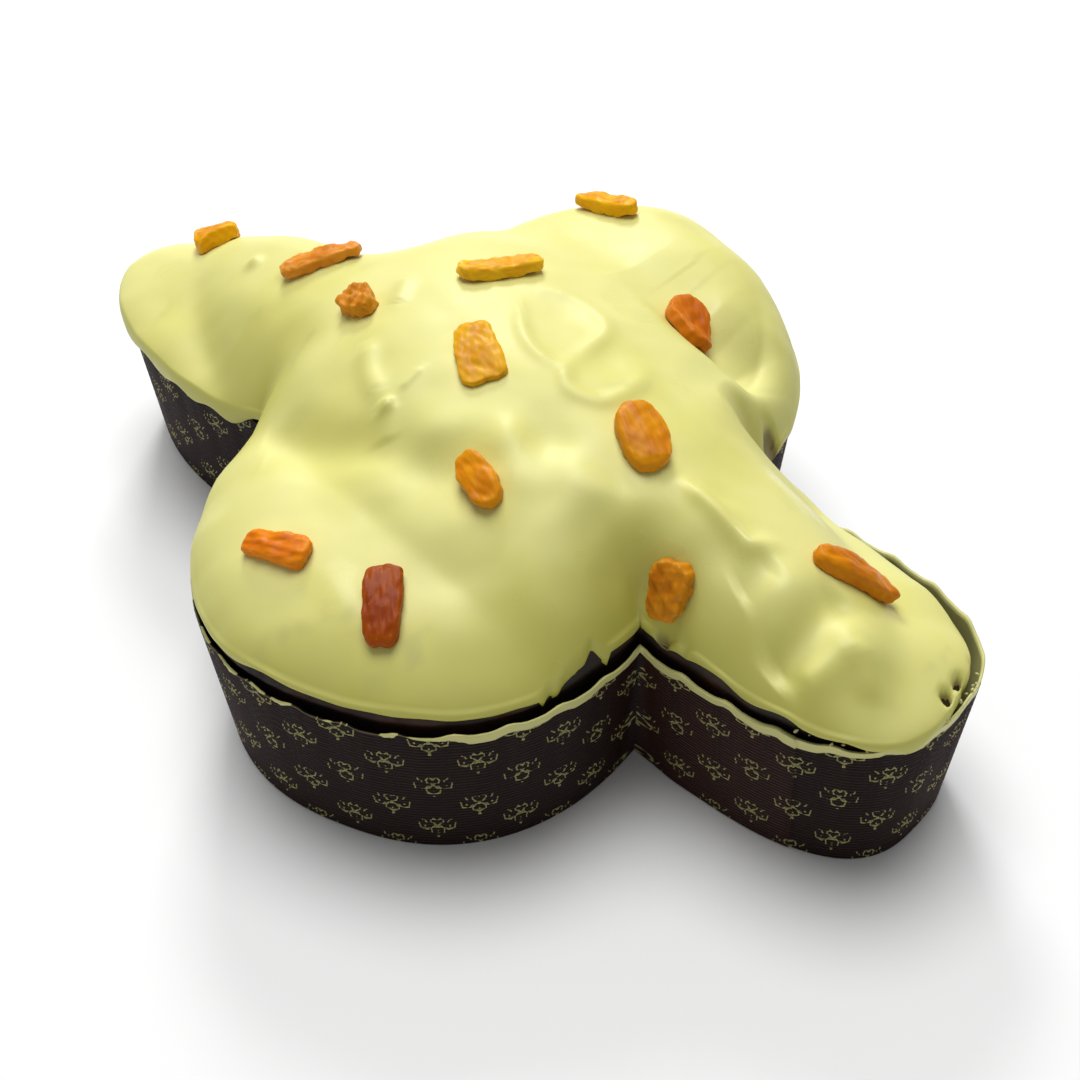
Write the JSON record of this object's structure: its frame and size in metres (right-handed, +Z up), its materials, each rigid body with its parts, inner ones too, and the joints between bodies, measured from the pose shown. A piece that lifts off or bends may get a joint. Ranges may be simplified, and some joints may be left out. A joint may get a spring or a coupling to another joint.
{
  "type": "colomba easter bread",
  "caption": "Dove-shaped sweet Easter loaf with pale icing and candied fruit, in its low flared paper case.",
  "frame": {"origin": "middle of the bounding box, on the surface that the paper case stands on", "axes": "+Z up; the dove's body lies along X with its narrow end at +X, and its wings spread along Y"},
  "size_m": [0.2972, 0.2068, 0.1003],
  "materials": {
    "case_paper": "dark brown corrugated paper, matt",
    "dark_crust": "dark baked crust, matt",
    "pale_icing": "pale yellow icing, satin",
    "candied_fruit": "candied orange peel, glossy"
  },
  "bodies": {
    "root": {"paper_case": "case_paper", "loaf": "dark_crust", "icing": "pale_icing", "fruit_01": "candied_fruit", "fruit_02": "candied_fruit", "fruit_03": "candied_fruit", "fruit_04": "candied_fruit", "fruit_05": "candied_fruit", "fruit_06": "candied_fruit", "fruit_07": "candied_fruit", "fruit_08": "candied_fruit", "fruit_09": "candied_fruit", "fruit_10": "candied_fruit", "fruit_11": "candied_fruit", "fruit_12": "candied_fruit", "fruit_13": "candied_fruit"}
  },
  "joints": []
}
